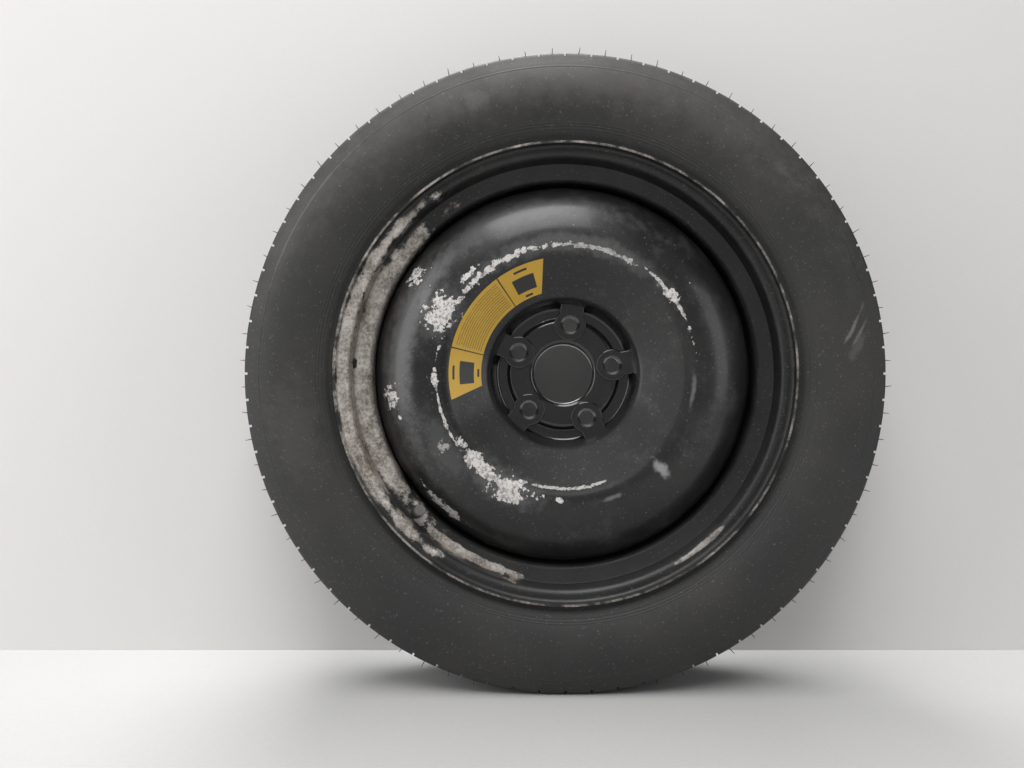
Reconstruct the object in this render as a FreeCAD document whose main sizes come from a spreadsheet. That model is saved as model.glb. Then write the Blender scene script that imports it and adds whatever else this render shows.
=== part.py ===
# Spare wheel: a pressed-steel wheel with a narrow tyre, a snap-in valve and a blank sticker.
# Millimetres. The origin is the wheel's centre, the axle runs along Y, the outer face looks
# towards -Y and +Z is up. "Offset" sizes are distances from the centre plane along the axle.
import FreeCAD, Part
import os
import re
import Sketcher
from FreeCAD import Placement, Rotation, Vector

SIZES = (
    # tyre
    ("tyre_radius", "339.0", "crown of the tread"),
    ("crown_drop", "1.0", "fall of the tread from crown to shoulder"),
    ("crown_round", "900.0", "curve across the tread"),
    ("tread_half_width", "57.0", "centre plane to shoulder corner"),
    ("shoulder_round", "9.0", "shoulder edge"),
    ("waist_reach", "3.7", "lower sidewall beyond the flange face"),
    ("waist_height", "0.0526", "waist over the flange, share of the sidewall height"),
    ("waist_round", "0.0842", "lower sidewall curve, share of the sidewall height"),
    ("bulge_reach", "0.2526", "bulge corner beyond the waist, share of the sidewall height"),
    ("bulge_height", "0.463", "bulge corner over the flange, share of the sidewall height"),
    ("bulge_round", "0.8", "sidewall curve, share of the sidewall height"),
    ("bead_face_height", "7.5", "flat of the bead against the flange"),
    ("bead_width", "14.6", "heel to toe"),
    ("bead_gap", "0.2", "tyre bead to rim"),
    ("toe_height", "8.0", "inner face of the bead"),
    ("tread_thickness", "10.0", "crown to inner liner"),
    ("sidewall_thickness", "8.0", "tyre wall at the bulge corner"),
    ("shoulder_thickness", "7.0", "tread edge to inner shoulder corner"),
    ("cavity_round", "0.547", "inner sidewall curve, share of the sidewall height"),
    ("cavity_shoulder_round", "0.137", "inner shoulder curve, share of the sidewall height"),
    ("tread_groove_width", "7.0", "straight grooves of the tread"),
    ("tread_groove_depth", "3.5", "straight grooves of the tread"),
    ("tread_groove_spacing", "24.0", "between straight grooves"),
    ("notch_count", "76", "shoulder notches in the round"),
    ("notch_width", "2.6", "shoulder notches"),
    ("notch_length", "19.0", "shoulder notches, along the axle"),
    ("notch_depth", "2.2", "shoulder notches, at the inner end"),
    ("notch_fall", "5.0", "extra depth at the open end"),
    ("contact_flat", "1.3", "how far the tyre flattens where it stands"),
    # rim
    ("rim_wall", "2.8", "sheet of the rim"),
    ("rim_half_width", "50.8", "centre plane to flange"),
    ("flange_height", "13.0", "bead seat to top of the flange"),
    ("lip_overhang", "10.5", "flange face to lip edge"),
    ("flange_round", "7.0", "outward roll of the flange"),
    ("seat_radius", "231.0", "bead seat at the flange"),
    ("seat_round", "5.0", "corner of seat and flange"),
    ("seat_width", "20.3", "flange to well wall"),
    ("seat_taper", "5.0", "degrees"),
    ("seat_edge_round", "4.0", "seat into the well"),
    ("well_half_width", "24.0", "centre plane to well wall"),
    ("well_depth", "20.2", "bead seat to bottom of the well, tyre side"),
    ("well_round", "3.5", "bottom corners of the well"),
    # disc
    ("disc_wall", "4.0", "sheet of the disc"),
    ("bore_radius", "31.7", "centre bore"),
    ("bore_round", "6.0", "bend at the bore"),
    ("collar_setback", "0.5", "bore collar behind the mounting face"),
    ("mounting_offset", "14.5", "mounting face"),
    ("pad_offset", "23.0", "front of the hub pad"),
    ("pad_radius", "57.5", "edge of the hub pad"),
    ("pad_round", "5.0", "edge of the hub pad"),
    ("channel_inner", "61.0", "channel round the pad"),
    ("channel_outer", "72.0", "channel round the pad"),
    ("channel_round", "2.0", "inner corner of the channel"),
    ("cup_round", "4.5", "outer corner of the channel"),
    ("cup_offset", "36.0", "where the steep cup wall turns into the cone"),
    ("cup_radius", "81.5", "where the steep cup wall turns into the cone"),
    ("cup_edge_round", "12.0", "turn of cup wall and cone"),
    ("crest_offset", "65.0", "furthest point of the disc"),
    ("crest_round", "20.0", "turn of cone and crest"),
    ("crest_width", "8.1", "crest between cone and dome"),
    ("dome_radius", "137.0", "where the dome leaves the crest"),
    ("skirt_end", "16.0", "inboard edge of the skirt"),
    ("skirt_gap", "0.1", "skirt in the well"),
    ("bolt_circle", "108.0", "pitch circle diameter"),
    ("bolt_count", "5", "wheel bolts"),
    ("bolt_azimuth", "10.2", "degrees, first bolt hole"),
    ("bolt_hole_radius", "7.9", "bolt hole"),
    ("nut_seat_radius", "10.4", "open end of the conical nut seat"),
    ("nut_seat_angle", "60.0", "degrees, whole cone"),
    ("lobe_rise", "2.5", "bolt lobes above the pad"),
    ("lobe_radius", "17.5", "round part of a lobe"),
    ("lobe_half_width", "13.0", "arm of a lobe"),
    ("lobe_round", "1.6", "edge of a lobe"),
    ("arm_root", "0.6", "arm of a lobe in the sheet of the channel"),
    ("relief_inner", "12.4", "ring pressed in behind a lobe"),
    ("relief_outer", "15.4", "ring pressed in behind a lobe"),
    ("relief_depth", "2.0", "ring pressed in behind a lobe"),
    # welds between disc and rim
    ("weld_leg", "4.0", "leg of the weld"),
    ("weld_arc", "50.0", "degrees, one run"),
    ("weld_count", "4", "runs"),
    ("weld_gap", "0.03", "weld to sheet"),
    # sticker
    ("sticker_azimuth", "147.0", "degrees, middle of the sticker"),
    ("sticker_half_angle", "46.0", "degrees, at the outer edge"),
    ("sticker_slant", "4.8", "degrees, slant of the ends"),
    ("sticker_thickness", "0.2", "film"),
    ("sticker_gap", "0.05", "film to disc"),
    ("sticker_inner_margin", "7.5", "from the cup edge"),
    ("sticker_outer_margin", "6.6", "from the crest"),
    # valve
    ("valve_azimuth", "223.3", "degrees"),
    ("valve_hole_radius", "5.75", "hole in the rim"),
    ("drill_margin", "3.0", "how far a cutting shape stands clear of what it cuts"),
    ("valve_gap", "0.15", "rubber to rim"),
    ("bulb_radius", "7.4", "rubber inside the tyre"),
    ("bulb_length", "8.0", "rubber inside the tyre"),
    ("bulb_tip_radius", "5.4", "rubber inside the tyre"),
    ("foot_ring_radius", "6.6", "rubber at the rim, outside"),
    ("foot_ring_length", "2.2", "rubber at the rim, outside"),
    ("rubber_tip_radius", "5.1", "outer end of the rubber"),
    ("rubber_length", "19.5", "rim to outer end of the rubber"),
    ("bond_gap", "0.05", "rubber to brass"),
    ("stem_radius", "3.85", "thread of the stem"),
    ("stem_length", "30.0", "rim to tip of the stem"),
    ("stem_depth", "7.0", "stem inside the rim"),
    ("stem_passage", "2.0", "air passage"),
    ("core_bore", "2.6", "bore for the core"),
    ("core_seat", "20.0", "seat of the core from the rim"),
    ("core_seat_length", "1.5", "cone of the seat"),
    ("core_gap", "0.1", "core to stem"),
    ("core_setback", "0.9", "core below the tip"),
    ("plug_length", "6.6", "threaded head of the core"),
    ("barrel_radius", "1.75", "tube of the core"),
    ("barrel_bore", "1.35", "tube of the core"),
    ("barrel_length", "9.0", "tube of the core below the head"),
    ("barrel_floor", "1.2", "end of the tube"),
    ("barrel_throat", "0.95", "hole in that end"),
    ("guide_length", "1.6", "pin guide in the head"),
    ("seal_length", "1.8", "ring on the core"),
    ("seal_wall", "0.35", "ring on the core, thin end"),
    ("pin_radius", "0.6", "pin of the core"),
    ("pin_gap", "0.05", "pin in its guide"),
    ("pin_setback", "0.3", "pin below the tip of the stem"),
    ("pin_collar_radius", "1.2", "collar that the spring lifts"),
    ("pin_collar_length", "0.6", "collar that the spring lifts"),
    ("gasket_radius", "1.65", "sealing washer on the pin"),
    ("gasket_length", "1.2", "sealing washer on the pin"),
    ("cup_length", "0.8", "foot of the pin"),
    ("spring_wire", "0.14", "radius of the wire"),
    ("spring_radius", "0.98", "middle of the wire"),
    ("spring_length", "9.1", "spring at rest"),
    ("spring_turns", "8", "turns"),
    ("spring_gap", "0.05", "spring to its seats"),
    ("cap_radius", "5.7", "valve cap"),
    ("cap_gap", "0.1", "cap on the stem"),
    ("cap_skirt_gap", "0.35", "cap to rubber"),
    ("cap_end_wall", "1.0", "end of the cap"),
    ("cap_edge_round", "0.9", "outer edge of the cap"),
    ("cap_flutes", "16", "finger grips"),
    ("flute_radius", "0.7", "finger grips"),
    ("cap_seal_length", "1.0", "disc in the cap"),
    ("cap_seal_gap", "0.08", "disc to its neighbours"),
)

doc = FreeCAD.newDocument("spare_wheel")
sheet = doc.addObject("Spreadsheet::Sheet", "sizes")
for row, (alias, number, note) in enumerate(SIZES, start=1):
    sheet.set("A%d" % row, alias)
    sheet.set("B%d" % row, number)
    sheet.setAlias("B%d" % row, alias)
    sheet.set("C%d" % row, note)
doc.recompute()

ALIAS = re.compile(r"\b(%s)\b" % "|".join(alias for alias, number, note in SIZES))


def sized(text):
    """An expression with the sheet's name in front of each size."""
    return ALIAS.sub(r"sizes.\1", text)


def value(text):
    """The number that an expression of sizes has now."""
    found = sheet.evalExpression(sized(text))
    return float(getattr(found, "Value", found))


def bind(thing, **properties):
    """Ties properties to expressions; two underscores stand for a dot."""
    for name, text in properties.items():
        thing.setExpression(name.replace("__", "."), sized(text))


def draw(sketch, name, corners, closed=True):
    """Draws straight runs through corners (x, y, round), each tied to the sheet, and rounds them."""
    places = [Vector(value(x), value(y), 0) for x, y, turn in corners]
    runs = len(places) if closed else len(places) - 1
    lines = []
    for i in range(runs):
        line = Part.LineSegment(places[i], places[(i + 1) % len(places)])
        lines.append(sketch.addGeometry(line, False))
    for i in range(len(places)):
        if closed or 0 < i < runs:
            before = lines[i - 1]
            sketch.addConstraint(Sketcher.Constraint("Coincident", before, 2, lines[i % runs], 1))
    for i, (x, y, turn) in enumerate(corners):
        end = (lines[i], 1) if i < runs else (lines[-1], 2)
        for kind, text, number in (("DistanceX", x, places[i].x), ("DistanceY", y, places[i].y)):
            tie = sketch.addConstraint(Sketcher.Constraint(kind, -1, 1, end[0], end[1], number))
            label = "%s_%d_%s" % (name, i, kind[-1].lower())
            sketch.renameConstraint(tie, label)
            sketch.setExpression("Constraints." + label, sized(text))
    for i, (x, y, turn) in enumerate(corners):
        if turn is not None:
            arc = sketch.GeometryCount
            sketch.fillet(lines[i - 1], 2, value(turn), True, True)
            tie = sketch.addConstraint(Sketcher.Constraint("Radius", arc, value(turn)))
            label = "%s_%d_round" % (name, i)
            sketch.renameConstraint(tie, label)
            sketch.setExpression("Constraints." + label, sized(turn))


def circle(sketch, name, x, y, radius):
    """Draws a circle tied to the sheet."""
    ring = Part.Circle(Vector(value(x), value(y), 0), Vector(0, 0, 1), value(radius))
    ring = sketch.addGeometry(ring, False)
    for kind, text in (("DistanceX", x), ("DistanceY", y)):
        tie = sketch.addConstraint(Sketcher.Constraint(kind, -1, 1, ring, 3, value(text)))
        label = "%s_%s" % (name, kind[-1].lower())
        sketch.renameConstraint(tie, label)
        sketch.setExpression("Constraints." + label, sized(text))
    tie = sketch.addConstraint(Sketcher.Constraint("Radius", ring, value(radius)))
    sketch.renameConstraint(tie, name + "_radius")
    sketch.setExpression("Constraints.%s_radius" % name, sized(radius))


def origin(body, role):
    """One of a body's own origin planes or axes."""
    return next(item for item in body.Origin.OriginFeatures if item.Role == role)


def new_body(name):
    body = doc.addObject("PartDesign::Body", name)
    body.Label = name
    return body


def sketch_on(body, role, name):
    sketch = body.newObject("Sketcher::SketchObject", name)
    sketch.AttachmentSupport = (origin(body, role), [""])
    sketch.MapMode = "FlatFace"
    return sketch


def feature(body, kind, name, sketch):
    made = body.newObject("PartDesign::" + kind, name)
    made.Profile = sketch
    sketch.Visibility = False
    return made


def turned(body, name, sketch, axis, angle="360"):
    """A revolution of a sketch about one of its own axes, even to both sides."""
    made = feature(body, "Revolution", name, sketch)
    made.ReferenceAxis = (sketch, [axis])
    made.Midplane = True
    bind(made, Angle=angle)
    return made


def ring_of(body, name, originals, axis, count):
    """Copies of features round an axis of the body."""
    made = body.newObject("PartDesign::PolarPattern", name)
    made.Originals = originals
    made.Axis = (origin(body, axis), [""])
    made.Angle = 360
    bind(made, Occurrences=count)
    body.Tip = made
    return made


def pressed_sheet(name, corners, wall):
    """A sheet of even thickness: an open line in the axle plane, thickened and revolved."""
    line = doc.addObject("Sketcher::SketchObject", name + "_line")
    line.Placement = Placement(Vector(0, 0, 0), Rotation(Vector(1, 1, 1), 120))
    draw(line, "bend", corners, closed=False)
    doc.recompute()
    section = doc.addObject("Part::Offset2D", name + "_section")
    section.Source = line
    section.Mode = "Skin"
    section.Fill = True
    bind(section, Value=wall)
    whole = doc.addObject("Part::Revolution", name + "_sheet")
    whole.Source = section
    whole.Axis = Vector(0, 1, 0)
    whole.Base = Vector(0, 0, 0)
    whole.Angle = 360
    whole.Solid = True
    doc.recompute()
    return whole


# rim: the line is the side that faces the tyre
LIP_RADIUS = "(seat_radius + flange_height)"
WELL_RADIUS = "(seat_radius - well_depth)"
SEAT_END = "(seat_radius - seat_width * tan(seat_taper))"
WELL_EDGE = "(rim_half_width - seat_width)"
LIP_OFFSET = "(rim_half_width + lip_overhang)"
rim_sheet = pressed_sheet(
    "rim",
    (
        ("-" + LIP_OFFSET, LIP_RADIUS, None),
        ("-rim_half_width", LIP_RADIUS, "flange_round"),
        ("-rim_half_width", "seat_radius", "seat_round"),
        ("-" + WELL_EDGE, SEAT_END, "seat_edge_round"),
        ("-well_half_width", WELL_RADIUS, "well_round"),
        ("well_half_width", WELL_RADIUS, "well_round"),
        (WELL_EDGE, SEAT_END, "seat_edge_round"),
        ("rim_half_width", "seat_radius", "seat_round"),
        ("rim_half_width", LIP_RADIUS, "flange_round"),
        (LIP_OFFSET, LIP_RADIUS, None),
    ),
    "rim_wall",
)

# the valve stands square on the outer wall of the well, at its middle
WALL_RUN = "(%s - well_half_width)" % WELL_EDGE
WALL_DROP = "(%s - %s)" % (SEAT_END, WELL_RADIUS)
VALVE_TILT = "atan(%s / %s)" % (WALL_RUN, WALL_DROP)
VALVE_RADIUS = "(%s + %s / 2 - rim_wall * sin(%s))" % (WELL_RADIUS, WALL_DROP, VALVE_TILT)
VALVE_OFFSET = "(well_half_width + %s / 2 + rim_wall * cos(%s))" % (WALL_RUN, VALVE_TILT)
VALVE_FRAME = (
    "placement(vector(%s * cos(valve_azimuth); -%s; %s * sin(valve_azimuth));"
    " rotation(vector(0; 1; 0); -valve_azimuth) * rotation(vector(1; 0; 0); 90)"
    " * rotation(vector(0; 1; 0); -%s))" % (VALVE_RADIUS, VALVE_OFFSET, VALVE_RADIUS, VALVE_TILT)
)
valve_drill = doc.addObject("Part::Cylinder", "valve_drill")
bind(valve_drill, Radius="valve_hole_radius", Height="rim_wall + 2 * drill_margin")
DRILL_START = "placement(vector(0; 0; -rim_wall - drill_margin); rotation(vector(0; 0; 1); 0))"
valve_drill.setExpression("Placement", sized(VALVE_FRAME + " * " + DRILL_START))
rim = doc.addObject("Part::Cut", "rim")
rim.Label = "rim"
rim.Base = rim_sheet
rim.Tool = valve_drill
doc.recompute()

# disc: the line is the outer face, from the bore to the skirt
CHANNEL_FRONT = "(mounting_offset + disc_wall)"
SKIRT_RADIUS = "(%s - rim_wall - skirt_gap)" % WELL_RADIUS
CREST_RADIUS = "(dome_radius - crest_width)"
LOBE_FRONT = "(pad_offset + lobe_rise)"
disc_sheet = pressed_sheet(
    "disc",
    (
        ("-(mounting_offset + collar_setback)", "bore_radius", None),
        ("-pad_offset", "bore_radius", "bore_round"),
        ("-pad_offset", "pad_radius", "pad_round"),
        ("-" + CHANNEL_FRONT, "channel_inner", "channel_round"),
        ("-" + CHANNEL_FRONT, "channel_outer", "cup_round"),
        ("-cup_offset", "cup_radius", "cup_edge_round"),
        ("-crest_offset", CREST_RADIUS, "crest_round"),
        ("-crest_offset", SKIRT_RADIUS, "(%s - dome_radius)" % SKIRT_RADIUS),
        ("skirt_end", SKIRT_RADIUS, None),
    ),
    "disc_wall",
)
disc = new_body("wheel_disc")
disc.BaseFeature = disc_sheet
disc.setExpression(
    "Placement", sized("placement(vector(0; 0; 0); rotation(vector(0; 1; 0); -bolt_azimuth))")
)
doc.recompute()


def lobe_sketch(name, depth):
    """A sketch square to the axle, at a distance in front of the centre plane."""
    sketch = sketch_on(disc, "XZ_Plane", name)
    bind(sketch, AttachmentOffset__Base__z=depth)
    return sketch


# one bolt lobe on the X axis: a round boss, and an arm that bridges the channel to the cup wall
BOSS_BASE = "(pad_offset - disc_wall / 2)"
boss_outline = sketch_on(disc, "XY_Plane", "boss_outline")
draw(
    boss_outline,
    "boss",
    (
        ("bolt_circle / 2", "-" + LOBE_FRONT, None),
        ("bolt_circle / 2 + lobe_radius", "-" + LOBE_FRONT, "lobe_round"),
        ("bolt_circle / 2 + lobe_radius", "-" + BOSS_BASE, None),
        ("bolt_circle / 2", "-" + BOSS_BASE, None),
    ),
)
boss_middle = value("bolt_circle / 2")
boss_foot = Vector(boss_middle, -value(BOSS_BASE), 0)
boss_front = Vector(boss_middle, -value(LOBE_FRONT), 0)
boss_axis = boss_outline.addGeometry(Part.LineSegment(boss_foot, boss_front), True)
boss_outline.addConstraint(Sketcher.Constraint("Coincident", boss_axis, 1, 3, 1))
boss_outline.addConstraint(Sketcher.Constraint("Coincident", boss_axis, 2, 3, 2))
boss = turned(disc, "lobe_boss", boss_outline, "Axis0")
CUP_SLOPE = "((cup_radius - channel_outer) / (cup_offset - %s))" % CHANNEL_FRONT
ARM_END = "(channel_outer + (%s - %s) * %s)" % (LOBE_FRONT, CHANNEL_FRONT, CUP_SLOPE)
ARM_START = "(channel_inner - channel_round / 2)"
ARM_BASE = "(%s - arm_root)" % CHANNEL_FRONT
arm_outline = sketch_on(disc, "YZ_Plane", "arm_outline")
bind(arm_outline, AttachmentOffset__Base__z=ARM_START)
draw(
    arm_outline,
    "arm",
    (
        ("-" + ARM_BASE, "-lobe_half_width", None),
        ("-" + LOBE_FRONT, "-lobe_half_width", "lobe_round"),
        ("-" + LOBE_FRONT, "lobe_half_width", "lobe_round"),
        ("-" + ARM_BASE, "lobe_half_width", None),
    ),
)
arm = feature(disc, "Pad", "lobe_arm", arm_outline)
bind(arm, Length="%s - %s" % (ARM_END, ARM_START))
relief_outline = lobe_sketch("relief_outline", "pad_offset - disc_wall")
circle(relief_outline, "outer", "bolt_circle / 2", "0", "relief_outer")
circle(relief_outline, "inner", "bolt_circle / 2", "0", "relief_inner")
relief = feature(disc, "Pocket", "lobe_relief", relief_outline)
relief.Reversed = True
bind(relief, Length="relief_depth")
doc.recompute()
hole_outline = lobe_sketch("hole_outline", LOBE_FRONT)
circle(hole_outline, "hole", "bolt_circle / 2", "0", "bolt_hole_radius")
hole = feature(disc, "Pocket", "bolt_hole", hole_outline)
hole.Type = "Length"
hole.Midplane = False
bind(hole, Length=LOBE_FRONT)
seat_outline = lobe_sketch("seat_outline", LOBE_FRONT)
circle(seat_outline, "seat", "bolt_circle / 2", "0", "nut_seat_radius")
seat = feature(disc, "Pocket", "nut_seat", seat_outline)
bind(seat, TaperAngle="-nut_seat_angle / 2")
bind(seat, Length="(nut_seat_radius - bolt_hole_radius) / tan(nut_seat_angle / 2)")
doc.recompute()
ring_of(disc, "bolt_ring", [boss, arm, relief, hole, seat], "Y_Axis", "bolt_count")
doc.recompute()

# welds between the skirt and the well, on the inboard side
welds = new_body("disc_welds")
welds.AllowCompound = True
weld_outline = sketch_on(welds, "YZ_Plane", "weld_outline")
WELD_TOP = "(%s - rim_wall - weld_gap)" % WELL_RADIUS
WELD_START = "(skirt_end + weld_gap)"
draw(
    weld_outline,
    "weld",
    (
        (WELD_START, WELD_TOP, None),
        (WELD_START + " + weld_leg", WELD_TOP, None),
        (WELD_START, WELD_TOP + " - weld_leg", None),
    ),
)
weld_run = turned(welds, "weld_run", weld_outline, "H_Axis", "weld_arc")
ring_of(welds, "weld_ring", [weld_run], "Y_Axis", "weld_count")
doc.recompute()

# tyre
HEEL_OFFSET = "(rim_half_width - bead_gap)"
HEEL_RADIUS = "(seat_radius + bead_gap)"
TOE_OFFSET = "(%s - bead_width)" % HEEL_OFFSET
TOE_RADIUS = "(%s - bead_width * tan(seat_taper))" % HEEL_RADIUS
SIDEWALL = "(tyre_radius - %s)" % LIP_RADIUS
WAIST_OFFSET = "(rim_half_width + waist_reach)"
WAIST_RADIUS = "(%s + waist_height * %s)" % (LIP_RADIUS, SIDEWALL)
BULGE_OFFSET = "(%s + bulge_reach * %s)" % (WAIST_OFFSET, SIDEWALL)
BULGE_RADIUS = "(%s + bulge_height * %s)" % (LIP_RADIUS, SIDEWALL)
LINER_RADIUS = "(tyre_radius - tread_thickness)"
half = (
    ("tread_half_width", "tyre_radius - crown_drop", "shoulder_round"),
    (BULGE_OFFSET, BULGE_RADIUS, "bulge_round * " + SIDEWALL),
    (WAIST_OFFSET, WAIST_RADIUS, "waist_round * " + SIDEWALL),
    (HEEL_OFFSET, HEEL_RADIUS + " + bead_face_height", None),
    (HEEL_OFFSET, HEEL_RADIUS, "seat_round"),
    (TOE_OFFSET, TOE_RADIUS, None),
    (TOE_OFFSET, TOE_RADIUS + " + toe_height", None),
    ("(%s - sidewall_thickness)" % BULGE_OFFSET, BULGE_RADIUS, "cavity_round * " + SIDEWALL),
    ("(tread_half_width - shoulder_thickness)", LINER_RADIUS, "cavity_shoulder_round * " + SIDEWALL),
)
outer_half = [("-" + x, y, turn) for x, y, turn in half]
tyre = new_body("tyre")
tyre_outline = sketch_on(tyre, "YZ_Plane", "tyre_outline")
draw(tyre_outline, "wall", [("0", "tyre_radius", "crown_round")] + list(half) + outer_half[::-1])
tyre_wall = turned(tyre, "tyre_wall", tyre_outline, "H_Axis")
doc.recompute()
groove_outline = sketch_on(tyre, "YZ_Plane", "groove_outline")
groove_places = (
    ("outer", "-tread_groove_spacing"),
    ("middle", "0"),
    ("inner", "tread_groove_spacing"),
)
for name, middle in groove_places:
    draw(
        groove_outline,
        name,
        (
            (middle + " - tread_groove_width / 2", "tyre_radius - tread_groove_depth", None),
            (middle + " + tread_groove_width / 2", "tyre_radius - tread_groove_depth", None),
            (middle + " + tread_groove_width / 2", "tyre_radius + tread_groove_depth", None),
            (middle + " - tread_groove_width / 2", "tyre_radius + tread_groove_depth", None),
        ),
    )
tread_grooves = feature(tyre, "Groove", "tread_grooves", groove_outline)
tread_grooves.ReferenceAxis = (groove_outline, ["H_Axis"])
tread_grooves.Angle = 360
doc.recompute()
notch_outline = sketch_on(tyre, "YZ_Plane", "notch_outline")
for name, sign in (("outer", "-"), ("inner", "")):
    start = sign + "(tread_half_width - notch_length)"
    stop = sign + "(tread_half_width + shoulder_round)"
    draw(
        notch_outline,
        name,
        (
            (start, "tyre_radius - notch_depth", None),
            (stop, "tyre_radius - notch_depth - notch_fall", None),
            (stop, "tyre_radius + notch_depth", None),
            (start, "tyre_radius + notch_depth", None),
        ),
    )
notch = feature(tyre, "Pocket", "notch", notch_outline)
notch.Midplane = True
bind(notch, Length="notch_width")
doc.recompute()
ring_of(tyre, "notches", [notch], "Y_Axis", "notch_count")
doc.recompute()
flat_outline = sketch_on(tyre, "YZ_Plane", "flat_outline")
FLAT = "-(tyre_radius - contact_flat)"
draw(
    flat_outline,
    "flat",
    (
        ("-" + BULGE_OFFSET, FLAT, None),
        (BULGE_OFFSET, FLAT, None),
        (BULGE_OFFSET, "-(tyre_radius + drill_margin)", None),
        ("-" + BULGE_OFFSET, "-(tyre_radius + drill_margin)", None),
    ),
)
flat = feature(tyre, "Pocket", "contact_patch", flat_outline)
flat.Midplane = True
bind(flat, Length="tyre_radius")
tyre.Tip = flat
doc.recompute()

# sticker on the cone of the disc
STICKER_IN = "(cup_radius + sticker_inner_margin)"
STICKER_OUT = "(%s - sticker_outer_margin)" % CREST_RADIUS
CONE_SLOPE = "((crest_offset - cup_offset) / (%s - cup_radius))" % CREST_RADIUS
CONE_THICK = "(sticker_thickness / cos(atan(%s)))" % CONE_SLOPE
CONE_IN = "-(cup_offset + (%s - cup_radius) * %s" % (STICKER_IN, CONE_SLOPE)
CONE_OUT = "-(cup_offset + (%s - cup_radius) * %s" % (STICKER_OUT, CONE_SLOPE)
sticker = new_body("sticker")
film_outline = sketch_on(sticker, "YZ_Plane", "film_outline")
draw(
    film_outline,
    "film",
    (
        (CONE_IN + " + sticker_gap)", STICKER_IN, None),
        (CONE_OUT + " + sticker_gap)", STICKER_OUT, None),
        (CONE_OUT + " + sticker_gap + %s)" % CONE_THICK, STICKER_OUT, None),
        (CONE_IN + " + sticker_gap + %s)" % CONE_THICK, STICKER_IN, None),
    ),
)
film = turned(sticker, "film", film_outline, "H_Axis", "2 * sticker_half_angle + 2 * sticker_slant")
doc.recompute()
end_outline = sketch_on(sticker, "XZ_Plane", "end_outline")
for name, sign in (("left", "-"), ("right", "")):
    outer_x = "%s * sin(sticker_half_angle)" % STICKER_OUT
    outer_y = "%s * cos(sticker_half_angle)" % STICKER_OUT
    inner_x = "%s * sin(sticker_half_angle - sticker_slant)" % STICKER_IN
    inner_y = "%s * cos(sticker_half_angle - sticker_slant)" % STICKER_IN
    far_x = "(2 * %s - %s)" % (outer_x, inner_x)
    far_y = "(2 * %s - %s)" % (outer_y, inner_y)
    near_x = "(2 * %s - %s)" % (inner_x, outer_x)
    near_y = "(2 * %s - %s)" % (inner_y, outer_y)
    draw(
        end_outline,
        name,
        (
            (sign + far_x, far_y, None),
            (sign + near_x, near_y, None),
            (sign + "(%s + cup_radius / 2)" % near_x, near_y + " - cup_radius / 2", None),
            (sign + "(%s + cup_radius / 2)" % far_x, far_y + " - cup_radius / 2", None),
        ),
    )
ends = feature(sticker, "Pocket", "film_ends", end_outline)
ends.Midplane = True
bind(ends, Length="2 * (crest_offset + drill_margin)")
sticker.setExpression(
    "Placement",
    sized("placement(vector(0; 0; 0); rotation(vector(0; 1; 0); 90 - sticker_azimuth))"),
)
sticker.Tip = ends
doc.recompute()


def valve_piece(name, corners):
    """A turned piece of the valve: corners are (radius, height over the rim, round)."""
    body = new_body(name)
    outline = sketch_on(body, "XZ_Plane", name + "_outline")
    draw(outline, "wall", corners)
    turned(body, name + "_turned", outline, "V_Axis")
    body.setExpression("Placement", sized(VALVE_FRAME))
    doc.recompute()
    return body


# valve, heights from the rim's face towards the cap
RIM_BACK = "-(rim_wall + valve_gap)"
BULB_END = "-(rim_wall + valve_gap + bulb_length)"
BRASS = "(stem_radius + bond_gap)"
NECK = "(valve_hole_radius - valve_gap)"
rubber = valve_piece(
    "valve_rubber",
    (
        ("stem_passage", BULB_END, None),
        ("bulb_tip_radius", BULB_END, None),
        ("bulb_radius", RIM_BACK + " - bulb_length / 4", None),
        ("bulb_radius", RIM_BACK, None),
        (NECK, RIM_BACK, None),
        (NECK, "valve_gap", None),
        ("foot_ring_radius", "valve_gap", None),
        ("foot_ring_radius", "foot_ring_length", None),
        ("rubber_tip_radius", "rubber_length - foot_ring_length", None),
        ("rubber_tip_radius", "rubber_length", None),
        (BRASS, "rubber_length", None),
        (BRASS, "-stem_depth - bond_gap", None),
        ("stem_passage", "-stem_depth - bond_gap", None),
    ),
)
CORE_TOP = "(core_seat + core_seat_length)"
stem = valve_piece(
    "valve_stem",
    (
        ("stem_passage", "-stem_depth", None),
        ("stem_radius", "-stem_depth", None),
        ("stem_radius", "stem_length", None),
        ("core_bore", "stem_length", None),
        ("core_bore", CORE_TOP, None),
        ("stem_passage", "core_seat", None),
    ),
)
HEAD_TOP = "(stem_length - core_setback)"
HEAD_BASE = "(%s - plug_length)" % HEAD_TOP
BARREL_END = "(%s - barrel_length)" % HEAD_BASE
BARREL_FLOOR = "(%s + barrel_floor)" % BARREL_END
core = valve_piece(
    "valve_core",
    (
        ("barrel_throat", BARREL_END, None),
        ("barrel_radius", BARREL_END, None),
        ("barrel_radius", HEAD_BASE, None),
        ("core_bore - core_gap", HEAD_BASE, None),
        ("core_bore - core_gap", HEAD_TOP, None),
        ("pin_radius + pin_gap", HEAD_TOP, None),
        ("pin_radius + pin_gap", HEAD_TOP + " - guide_length", None),
        ("barrel_bore", HEAD_TOP + " - guide_length", None),
        ("barrel_bore", BARREL_FLOOR, None),
        ("barrel_throat", BARREL_FLOOR, None),
    ),
)
SEAL_TOP = "(%s - bond_gap)" % HEAD_BASE
SEAL_BASE = "(%s - seal_length)" % SEAL_TOP
SEAL_BORE = "(barrel_radius + bond_gap)"
core_seal = valve_piece(
    "valve_core_seal",
    (
        (SEAL_BORE, SEAL_BASE, None),
        (SEAL_BORE + " + seal_wall", SEAL_BASE, None),
        ("core_bore - core_gap", SEAL_TOP + " - seal_length / 3", None),
        ("core_bore - core_gap", SEAL_TOP, None),
        (SEAL_BORE, SEAL_TOP, None),
    ),
)
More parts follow.
